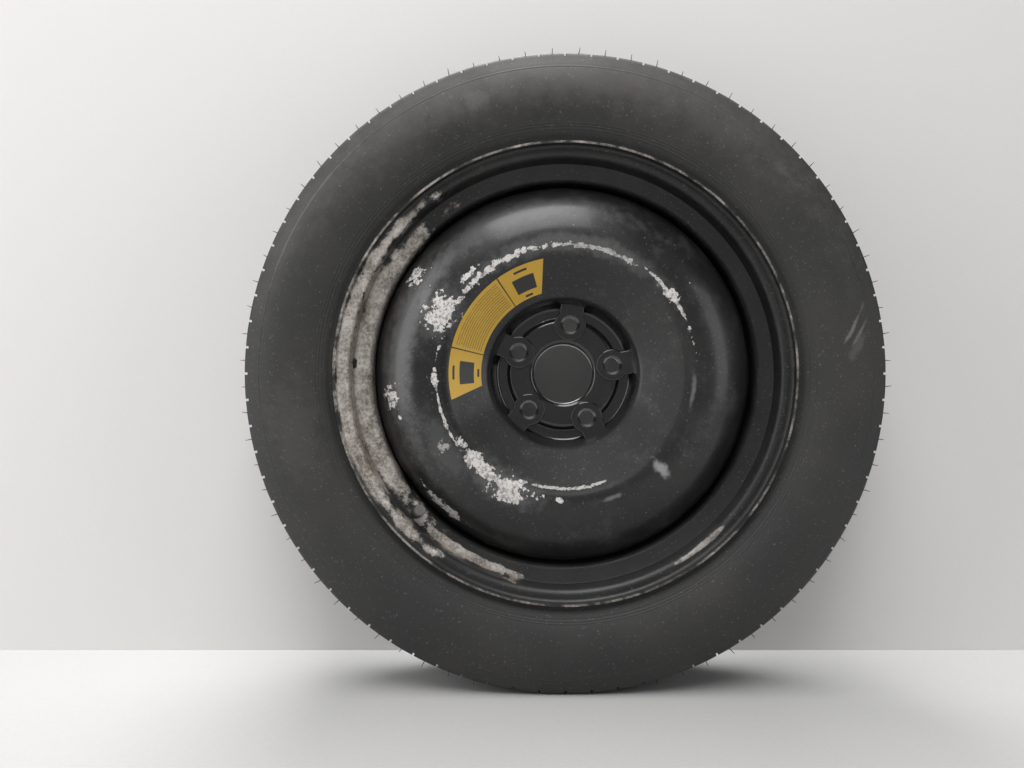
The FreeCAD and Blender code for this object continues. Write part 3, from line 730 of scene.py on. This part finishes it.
@dataclass(frozen=True)
class RimPaint(Finish):
    """Black paint on the rim, worn to bare steel at the lower left and along the lip."""

    bare: Sequence[Patch] = (
        Patch(178.0, 47.0, 216.0, 15.0),
        Patch(237.0, 17.0, 222.0, 5.0, 0.95),
        Patch(181.0, 50.0, 233.0, 8.0),
        Patch(255.5, 3.6, 224.0, 4.0, 0.9),
        Patch(308.0, 9.0, 232.0, 2.6, 0.5),
    )
    # Outlines of the bare steel, and islands of paint in it.
    outlines: Noise = Noise(34.0, 8.0, 0.72)
    bare_ragged: float = 2.0
    bare_soft: float = 0.12
    outer_side: Span = Span(2.0, 12.0)
    seam_radius: float = 226.5
    seam_edge: Span = Span(0.5, 4.5)
    seam_strength: float = 0.4
    seam_tone: Colour = (0.19, 0.15, 0.115, 1.0)
    islands: Noise = Noise(48.0, 8.0, 0.68)
    island_span: Span = Span(0.33, 0.35)
    seam_islands: float = -0.07
    # The worn line on the lip.
    lip_radius: float = 242.8
    lip_edge: Span = Span(0.9, 1.5)
    lip_front: Span = Span(59.8, 60.8)
    lip_wear: Span = Span(0.42, 0.60)
    lip_strength: float = 0.6
    # Paint with flecks, and a lighter tone on what faces up that is partly settled dust and partly painted
    # light from above.
    dark: Colour = grey(0.008)
    light: Colour = grey(0.022, 0.03)
    faces_up: Span = Span(-0.1, 0.8)
    dust_and_top_light_strength: float = 0.35
    dust_and_top_light_tone: Colour = grey(0.11, 0.03)
    fleck_strength: float = 0.3
    fleck_tone: Colour = grey(0.2)
    # The mottle of the steel.
    steel_fine: Noise = Noise(300.0, 6.0, 0.7)
    steel_broad: Noise = Noise(30.0, 5.0, 0.6)
    steel_share: float = 0.5
    steel_span: Span = Span(0.36, 0.64)
    steel_dark: Colour = (0.16, 0.133, 0.108, 1.0)
    steel_light: Colour = (0.70, 0.655, 0.61, 1.0)
    steel_metal: float = 0.45
    steel_roughness: float = 0.55
    # Gloss and relief.
    specular: float = 0.42
    sheen: Noise = Noise(40.0, 4.0, 0.6)
    roughness: Span = Span(0.32, 0.52)
    peel: Noise = Noise(240.0, 3.0, 0.5)
    peel_share: float = 0.5
    bump_strength: float = 0.3
    bump_height: float = 0.0003

    def build(self) -> bpy.types.Material:
        """Builds the material."""
        material, graph, shader = self.start()
        ground = self.ground(graph)
        ragged = graph.noise(ground.point, self.outlines)
        seam = graph.fade(graph.off(ground.radius, self.seam_radius), self.seam_edge)
        worn = self._wear(graph, ground, ragged, seam)
        paint = self._paint(graph, ground, ragged)
        steel = self._steel(graph, ground, seam)
        graph.feed(shader.inputs["Base Color"], graph.blend(worn, paint, steel))
        shader.inputs["Specular IOR Level"].default_value = self.specular
        rough = graph.spread(graph.noise(ground.point, self.sheen), self.roughness)
        rough = graph.math("MAXIMUM", rough, graph.times(worn, self.steel_roughness))
        graph.feed(shader.inputs["Roughness"], rough)
        graph.feed(shader.inputs["Metallic"], graph.times(worn, self.steel_metal))
        peel = graph.times(graph.noise(ground.point, self.peel), self.peel_share)
        height = graph.math("SUBTRACT", peel, worn)
        self.bump(graph, shader, height, self.bump_strength, self.bump_height)
        return material

    def _wear(self, graph: Graph, ground: Ground, ragged: Socket, seam: Socket) -> Socket:
        """Where the steel is bare: patches with islands of paint, and a worn line on the lip.

        Args:
            graph: the material's graph.
            ground: what it reads at a point.
            ragged: what roughens the outlines.
            seam: where seat and well meet.

        Returns:
            The mask.
        """
        worn = self.spots(graph, ground, ragged, self.bare, self.bare_ragged, self.bare_soft)
        islands = graph.noise(ground.point, self.islands)
        islands = graph.math("MULTIPLY_ADD", seam, self.seam_islands, islands)
        front = graph.step(ground.outward, self.outer_side)
        worn = graph.times(worn, front, graph.step(islands, self.island_span))
        lip = graph.times(
            graph.fade(graph.off(ground.radius, self.lip_radius), self.lip_edge),
            graph.step(ground.outward, self.lip_front),
            graph.step(ragged, self.lip_wear),
            self.lip_strength,
        )
        return graph.math("MAXIMUM", worn, lip)

    def _paint(self, graph: Graph, ground: Ground, ragged: Socket) -> Socket:
        """The paint's colour, lighter on what faces up, partly settled dust and partly painted light from
        above.

        Args:
            graph: the material's graph.
            ground: what it reads at a point.
            ragged: makes that lighter tone uneven.

        Returns:
            The colour.
        """
        paint = graph.blend(ground.cloud, self.dark, self.light)
        # Painted light from above, partly settled dust: what faces up is lighter.
        dust_and_top_light = graph.step(graph.facing()[2], self.faces_up)
        dust_and_top_light = graph.times(dust_and_top_light, self.dust_and_top_light_strength, ragged)
        paint = graph.blend(dust_and_top_light, paint, self.dust_and_top_light_tone)
        return graph.blend(graph.times(ground.speck, self.fleck_strength), paint, self.fleck_tone)

    def _steel(self, graph: Graph, ground: Ground, seam: Socket) -> Socket:
        """The mottled steel, browner along the seam.

        Args:
            graph: the material's graph.
            ground: what it reads at a point.
            seam: where seat and well meet.

        Returns:
            The colour.
        """
        fine = graph.times(graph.noise(ground.point, self.steel_fine), self.steel_share)
        broad = graph.noise(ground.point, self.steel_broad)
        mottle = graph.math("MULTIPLY_ADD", broad, self.steel_share, fine)
        steel = graph.blend(graph.step(mottle, self.steel_span), self.steel_dark, self.steel_light)
        return graph.blend(graph.times(seam, self.seam_strength), steel, self.seam_tone)


@dataclass(frozen=True)
class StickerPrint(Finish):
    """Yellow film with two dividers, plain dark blocks and bars, and rows of fine strokes."""

    # At each end a bar by the outer edge, one by the inner edge and a block, then the dividers.
    fields: Sequence[Field] = (
        Field(114.0, 3.6, 117.4, 1.1),
        Field(179.5, 3.6, 117.4, 1.1),
        Field(114.0, 2.6, 92.0, 1.1),
        Field(179.5, 2.6, 92.0, 1.1),
        Field(114.0, 6.4, 104.0, 7.4),
        Field(179.5, 6.4, 104.0, 7.4),
        Field(126.0, 0.35, 105.0, 30.0),
        Field(167.0, 0.35, 105.0, 30.0),
    )
    rows: Field = Field(146.5, 18.6, 105.6, 14.0)
    row_pitch: float = 2.3
    row_shift: float = 0.58
    row_edge: Span = Span(0.1, 0.5)
    row_strength: float = 0.55
    stroke_rate: float = 0.9
    strokes: Noise = Noise(1.6, 2.0, 0.6)
    stroke_span: Span = Span(0.36, 0.40)
    soft_azimuth: float = 0.05
    soft_radius: float = 0.1
    ink: Colour = grey(0.02)
    dark: Colour = (0.56, 0.335, 0.03, 1.0)
    light: Colour = (0.64, 0.42, 0.06, 1.0)
    dirt: Noise = Noise(60.0, 6.0, 0.7)
    dirt_span: Span = Span(0.62, 0.72)
    dirt_strength: float = 0.35
    dirt_tone: Colour = grey(0.12, 0.1)
    roughness: Span = Span(0.34, 0.5)

    def build(self) -> bpy.types.Material:
        """Builds the material."""
        material, graph, shader = self.start()
        ground = self.ground(graph)
        inked = [self._field(graph, ground, field) for field in self.fields]
        inked.append(self._rows(graph, ground))
        yellow = graph.blend(ground.cloud, self.dark, self.light)
        colour = graph.blend(graph.most(inked), yellow, self.ink)
        dirt = graph.step(graph.noise(ground.point, self.dirt), self.dirt_span)
        colour = graph.blend(graph.times(dirt, self.dirt_strength), colour, self.dirt_tone)
        graph.feed(shader.inputs["Base Color"], colour)
        graph.feed(shader.inputs["Roughness"], graph.spread(ground.cloud, self.roughness))
        return material

    def _field(self, graph: Graph, ground: Ground, field: Field) -> Socket:
        """A printed field between two azimuths and two radii.

        Args:
            graph: the material's graph.
            ground: gives azimuth and radius.
            field: its place and size.

        Returns:
            The mask.
        """
        across = Span(field.half_azimuth - self.soft_azimuth, field.half_azimuth + self.soft_azimuth)
        along = Span(field.half_radius - self.soft_radius, field.half_radius + self.soft_radius)
        return graph.times(
            graph.fade(graph.off(ground.azimuth, field.azimuth), across),
            graph.fade(graph.off(ground.radius, field.radius), along),
        )

    def _rows(self, graph: Graph, ground: Ground) -> Socket:
        """Rows of fine broken strokes between the dividers.

        Args:
            graph: the material's graph.
            ground: gives azimuth and radius.

        Returns:
            The mask.
        """
        wave = graph.math("SINE", graph.times(ground.radius, 2.0 * math.pi / self.row_pitch))
        row = graph.math("DIVIDE", graph.math("ADD", ground.radius, self.row_shift), self.row_pitch)
        place = graph.add("ShaderNodeCombineXYZ")
        graph.feed(place.inputs[0], graph.times(ground.azimuth, self.stroke_rate))
        graph.feed(place.inputs[1], graph.math("FLOOR", row))
        breaks = graph.step(graph.noise(place.outputs[0], self.strokes), self.stroke_span)
        area = self._field(graph, ground, self.rows)
        return graph.times(graph.step(wave, self.row_edge), breaks, area, self.row_strength)


@dataclass(frozen=True)
class Plain(Finish):
    """A small part's finish: two tones, grain and dust."""

    dark: Colour = grey(0.02)
    light: Colour = grey(0.04)
    rough: float = 0.5
    metal: float = 0.0
    dusty: float = 0.1
    rough_swing: float = 0.1
    tones: Noise = Noise(300.0, 4.0, 0.6)
    cover: Noise = Noise(150.0, 4.0, 0.6)
    cover_tone: Colour = grey(0.30, 0.06)
    bump_strength: float = 0.2
    bump_height: float = 0.0001

    def build(self) -> bpy.types.Material:
        """Builds the material."""
        material, graph, shader = self.start()
        point = graph.place()
        grain = graph.use(self.groups.dust, Point=point).outputs["Grain"]
        tone = graph.blend(graph.noise(point, self.tones), self.dark, self.light)
        cover = graph.times(graph.noise(point, self.cover), self.dusty)
        graph.feed(shader.inputs["Base Color"], graph.blend(cover, tone, self.cover_tone))
        swing = Span(self.rough - self.rough_swing, self.rough + self.rough_swing)
        graph.feed(shader.inputs["Roughness"], graph.spread(grain, swing))
        shader.inputs["Metallic"].default_value = self.metal
        self.bump(graph, shader, grain, self.bump_strength, self.bump_height)
        return material


@dataclass(frozen=True)
class Backdrop(Plain):
    """A plain wall that only a camera in front of it sees, so that the wheel shows from behind too."""

    def build(self) -> bpy.types.Material:
        """Builds the material."""
        material = super().build()
        graph = Graph(material.node_tree)
        front = graph.math("SUBTRACT", 1.0, graph.add("ShaderNodeNewGeometry").outputs["Backfacing"])
        seen = graph.times(front, graph.add("ShaderNodeLightPath").outputs["Is Camera Ray"])
        mix = graph.add("ShaderNodeMixShader")
        graph.feed(mix.inputs["Fac"], seen)
        graph.feed(mix.inputs[1], graph.add("ShaderNodeBsdfTransparent").outputs["BSDF"])
        graph.feed(mix.inputs[2], graph.found("BSDF_PRINCIPLED").outputs["BSDF"])
        graph.feed(graph.found("OUTPUT_MATERIAL").inputs["Surface"], mix.outputs["Shader"])
        return material


def dress(node: str, material: bpy.types.Material) -> None:
    """Gives a CAD node its finish.

    Args:
        node: the node's name.
        material: the finish.
    """
    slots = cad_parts[node].data.materials
    slots.clear()
    slots.append(material)
    LOG.info("%s wears %s", node, material.name)


def new_object(name: str, shape: bmesh.types.BMesh, material: bpy.types.Material) -> bpy.types.Object:
    """Makes an object of a finished shape.

    Args:
        name: the object's name.
        shape: its mesh in the row frame, which is used up.
        material: its finish.

    Returns:
        The object.
    """
    mesh = bpy.data.meshes.new(name)
    shape.to_mesh(mesh)
    shape.free()
    mesh.materials.append(material)
    made = bpy.data.objects.new(name, mesh)
    bpy.context.scene.collection.objects.link(made)
    LOG.info("%s has %d faces", name, len(mesh.polygons))
    return made


def new_piece(
    name: str, shape: bmesh.types.BMesh, material: bpy.types.Material, body: str
) -> bpy.types.Object:
    """Makes a piece of the part and sets it on a body.

    Args:
        name: the piece's name.
        shape: its mesh in the row frame.
        material: its finish.
        body: the body that it rides on.

    Returns:
        The piece.
    """
    piece = new_object(name, shape, material)
    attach(piece, body)
    return piece


def round_axle(azimuth: float, radius: float, offset: float) -> Vector:
    """A point at an azimuth in radians, a distance from the axle and an offset along it."""
    return Vector((math.cos(azimuth) * radius, offset, math.sin(azimuth) * radius))


@dataclass
class Tyre:
    """The tyre: its rubber and the moulding hairs on its shoulders. Lengths are metres."""

    groups: Groups
    hair_rows: int = 76
    hair_sides: int = 5
    hair_radius: float = 0.0006
    hair_taper: float = 0.45
    hair_length: float = 0.0082
    hair_lengths: Span = Span(0.7, 1.15)
    hair_splay: float = 0.3
    hair_clear: float = 0.4
    lean_across: Span = Span(-0.2, 0.2)
    lean_along: Span = Span(-0.1, 0.1)
    lean_up: Span = Span(-0.1, 0.3)
    hair_seed: int = 7
    shoulder_radius: float = 0.3350
    shoulder_offset: float = 0.0568
    bottom: float = 270.0
    patch_half_angle: float = 14.0

    def dress(self) -> bpy.types.Material:
        """Gives the tyre its rubber, and returns it."""
        rubber = TyreRubber("tyre_rubber", self.groups).build()
        dress("tyre", rubber)
        return rubber

    def build_hairs(self, rubber: bpy.types.Material) -> None:
        """Sets a thin hair beside each shoulder notch, none where the tyre stands.

        Args:
            rubber: the hairs' finish.
        """
        chance = random.Random(self.hair_seed)
        shape = bmesh.new()
        for side in Side:
            for row in range(self.hair_rows):
                azimuth = (row + 0.5) * FULL_TURN / self.hair_rows
                if abs(azimuth - self.bottom) >= self.patch_half_angle:
                    self._hair(shape, math.radians(azimuth), side, chance)
        new_piece("tyre_hairs", shape, rubber, "wheel")

    def _hair(self, shape: bmesh.types.BMesh, azimuth: float, side: Side, chance: random.Random) -> None:
        """Adds one hair.

        Args:
            shape: the mesh that it goes in.
            azimuth: radians round the axle.
            side: the shoulder.
            chance: gives it a length and a lean.
        """
        length = self.hair_length * chance.uniform(*self.hair_lengths)
        leans = (self.lean_across, self.lean_along, self.lean_up)
        lean = Vector([chance.uniform(*span) for span in leans])
        aim = (round_axle(azimuth, 1.0, self.hair_splay * side.value) + lean).normalized()
        foot = round_axle(azimuth, self.shoulder_radius, self.shoulder_offset * side.value)
        turn = aim.to_track_quat("Z", "Y").to_matrix().to_4x4()
        bmesh.ops.create_cone(
            shape,
            cap_ends=True,
            segments=self.hair_sides,
            radius1=self.hair_radius,
            radius2=self.hair_radius * self.hair_taper,
            depth=length,
            matrix=Matrix.Translation(foot + aim * (self.hair_clear * length)) @ turn,
        )


@dataclass
class Wheel:
    """Rim, disc, welds and sticker."""

    groups: Groups

    def dress(self) -> None:
        """Gives the steel its paint and the sticker its print."""
        weld_paint = Plain("weld_paint", self.groups, grey(0.014), grey(0.04), rough=0.45)
        dress("wheel_disc", DiscPaint("disc_paint", self.groups).build())
        dress("disc_welds", weld_paint.build())
        dress("rim", RimPaint("rim_paint", self.groups).build())
        dress("sticker", StickerPrint("sticker_print", self.groups).build())


@dataclass
class Valve:
    """The valve's pieces. Lengths are metres, heights are from the rim's face towards the cap."""

    groups: Groups
    azimuth: float = 223.3
    tilt: float = 19.433
    foot_radius: float = 0.21908
    foot_offset: float = -0.02989
    spring_base: float = 0.01475
    spring_length: float = 0.0091
    spring_radius: float = 0.00098
    wire_radius: float = 0.00014
    wire_sides: int = 8
    spring_turns: int = 8
    steps_a_turn: int = 24
    travel: float = 0.0012
    brass_tones: Tones = ((0.42, 0.27, 0.08, 1.0), (0.60, 0.43, 0.16, 1.0))
    seal_tones: Tones = ((0.10, 0.02, 0.015, 1.0), (0.16, 0.03, 0.02, 1.0))

    def place(self) -> Matrix:
        """The valve's own frame: origin on the rim's face, Z towards the cap."""
        angle = math.radians(self.azimuth)
        turn = Matrix.Rotation(-angle, 4, "Y")
        square = Matrix.Rotation(QUARTER_TURN, 4, "X")
        lean = Matrix.Rotation(math.radians(-self.tilt), 4, "Y")
        foot = round_axle(angle, self.foot_radius, self.foot_offset)
        return Matrix.Translation(foot) @ turn @ square @ lean

    def dress(self) -> bpy.types.Material:
        """Gives each piece of the valve its finish.

        Returns:
            The finish of the spring's wire.
        """
        finishes = (
            Plain("valve_rubber", self.groups, grey(0.016), grey(0.035), rough=0.62, dusty=0.18),
            Plain("valve_brass", self.groups, *self.brass_tones, rough=0.32, metal=1.0, dusty=0.03),
            Plain("valve_seal", self.groups, *self.seal_tones, rough=0.6, dusty=0.02),
            Plain("spring_wire", self.groups, grey(0.35), grey(0.5), rough=0.3, metal=1.0, dusty=0.0),
            Plain("cap_plastic", self.groups, grey(0.05), grey(0.09, 0.02), rough=0.5, dusty=0.3),
        )
        rubber, brass, seal, wire, cap = (finish.build() for finish in finishes)
        for node, finish in (
            ("valve_rubber", rubber),
            ("valve_stem", brass),
            ("valve_core", brass),
            ("valve_pin", brass),
            ("valve_core_seal", seal),
            ("valve_gasket", seal),
            ("valve_cap_seal", seal),
            ("valve_spring", wire),
            ("valve_cap", cap),
        ):
            dress(node, finish)
        return wire

    def build_spring(self, wire: bpy.types.Material) -> None:
        """Builds the spring again as a mesh of its own, and hides the CAD spring.

        Args:
            wire: the spring's finish.
        """
        shape = bmesh.new()
        upright = Matrix.Rotation(QUARTER_TURN, 4, "X")
        start = Matrix.Translation((self.spring_radius, 0.0, self.spring_base + self.wire_radius))
        ring = bmesh.ops.create_circle(
            shape, segments=self.wire_sides, radius=self.wire_radius, matrix=start @ upright
        )
        steps = self.spring_turns * self.steps_a_turn
        rise = (self.spring_length - 2.0 * self.wire_radius) / steps
        edges = list({edge for vert in ring["verts"] for edge in vert.link_edges})
        bmesh.ops.spin(
            shape,
            geom=ring["verts"] + edges,
            cent=(0.0, 0.0, 0.0),
            axis=(0.0, 0.0, 1.0),
            dvec=(0.0, 0.0, rise),
            angle=math.radians(FULL_TURN * self.spring_turns),
            steps=steps,
        )
        bmesh.ops.holes_fill(shape, edges=[edge for edge in shape.edges if edge.is_boundary])
        bmesh.ops.recalc_face_normals(shape, faces=shape.faces)
        place = self.place()
        bmesh.ops.transform(shape, matrix=place, verts=shape.verts)
        spring = new_piece("spring", shape, wire, "wheel")
        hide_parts("valve_spring")
        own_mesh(spring)


@dataclass(frozen=True)
class Lamp:
    """A soft lamp: its name, where it hangs, where it points, its width and depth, and its watts."""

    name: str
    place: tuple[float, float, float]
    aim: tuple[float, float, float]
    size: tuple[float, float]
    power: float

    def hang(self) -> None:
        """Adds the lamp to the scene."""
        light = bpy.data.lights.new(self.name, "AREA")
        light.shape = "RECTANGLE"
        light.size, light.size_y = self.size
        light.energy = self.power
        holder = bpy.data.objects.new(self.name, light)
        holder.location = self.place
        holder.rotation_euler = (Vector(self.aim) - Vector(self.place)).to_track_quat("-Z", "Y").to_euler()
        bpy.context.scene.collection.objects.link(holder)


@dataclass
class Studio:
    """Floor, wall, light and camera."""

    groups: Groups
    floor_height: float = -0.3377
    wall_offset: float = 0.09
    sheet_half_size: float = 4.0
    sheet_roughness: float = 0.8
    floor_tones: Tones = (grey(0.44, 0.01), grey(0.50, 0.01))
    wall_tones: Tones = (grey(0.64, 0.02), grey(0.68, 0.02))
    lamps: Sequence[Lamp] = (
        Lamp("ceiling", (-0.25, -0.12, 1.9), (0.0, -0.1, 0.0), (4.6, 1.2), 106.0),
        Lamp("rear", (0.2, 1.3, 1.9), (0.0, 0.1, 0.0), (2.6, 1.4), 26.0),
        Lamp("left", (-1.7, -0.55, 0.5), (0.0, -0.1, 0.1), (1.5, 2.0), 23.0),
        Lamp("right", (1.9, -1.1, 0.4), (0.0, -0.05, 0.0), (0.9, 1.4), 8.0),
        Lamp("front", (-0.5, -3.2, 1.0), (0.0, 0.0, 0.0), (3.6, 2.6), 9.0),
    )
    room_colour: Colour = (0.95, 0.97, 1.0, 1.0)
    room_light: float = 0.085
    background: Colour = grey(0.82)
    camera_place: tuple[float, float, float] = (-0.056, -0.926, -0.011)
    lens: float = 29.1
    sensor_width: float = 36.0

    def build(self) -> None:
        """Builds all of it."""
        self._floor()
        self._wall()
        for lamp in self.lamps:
            lamp.hang()
        self._world()
        self._camera()

    def _sheet(self, finish: Finish, matrix: Matrix) -> None:
        """A large plain surface that is no part of the object.

        Args:
            finish: its finish, which also names it.
            matrix: its place.
        """
        shape = bmesh.new()
        bmesh.ops.create_grid(shape, x_segments=1, y_segments=1, size=self.sheet_half_size, matrix=matrix)
        sheet = new_object(finish.name, shape, finish.build())

    def _floor(self) -> None:
        """The pale floor that the tyre stands on."""
        finish = Plain("floor", self.groups, *self.floor_tones, rough=self.sheet_roughness, dusty=0.0)
        self._sheet(finish, Matrix.Translation((0.0, 0.0, self.floor_height)))

    def _wall(self) -> None:
        """The pale backdrop."""
        finish = Backdrop("backdrop", self.groups, *self.wall_tones, rough=self.sheet_roughness, dusty=0.0)
        turn = Matrix.Rotation(QUARTER_TURN, 4, "X")
        self._sheet(finish, Matrix.Translation((0.0, self.wall_offset, 0.0)) @ turn)

    def _world(self) -> None:
        """Even light from all round, and a pale background for the camera."""
        world = bpy.data.worlds.new("room")
        world.use_nodes = True
        graph = Graph(world.node_tree)
        room = graph.found("BACKGROUND")
        room.inputs["Color"].default_value = self.room_colour
        room.inputs["Strength"].default_value = self.room_light
        pale = graph.add("ShaderNodeBackground")
        pale.inputs["Color"].default_value = self.background
        pale.inputs["Strength"].default_value = 1.0
        mix = graph.add("ShaderNodeMixShader")
        graph.feed(mix.inputs["Fac"], graph.add("ShaderNodeLightPath").outputs["Is Camera Ray"])
        graph.feed(mix.inputs[1], room.outputs["Background"])
        graph.feed(mix.inputs[2], pale.outputs["Background"])
        graph.feed(graph.found("OUTPUT_WORLD").inputs["Surface"], mix.outputs["Shader"])
        bpy.context.scene.world = world

    def _camera(self) -> None:
        """The camera at the photograph's viewing angle."""
        camera = bpy.data.cameras.new("camera")
        camera.lens = self.lens
        camera.sensor_width = self.sensor_width
        holder = bpy.data.objects.new("camera", camera)
        holder.location = self.camera_place
        holder.rotation_euler = (QUARTER_TURN, 0.0, 0.0)
        bpy.context.scene.collection.objects.link(holder)
        bpy.context.scene.camera = holder


def main() -> None:
    """Builds and dresses the wheel and its studio."""
    logging.basicConfig(level=logging.INFO, format="%(name)s: %(message)s")
    bpy.context.scene.view_settings.view_transform = "Standard"
    groups = Groups()
    tyre = Tyre(groups)
    tyre.build_hairs(tyre.dress())
    Wheel(groups).dress()
    valve = Valve(groups)
    valve.build_spring(valve.dress())
    Studio(groups).build()


if __name__ == "__main__":
    main()
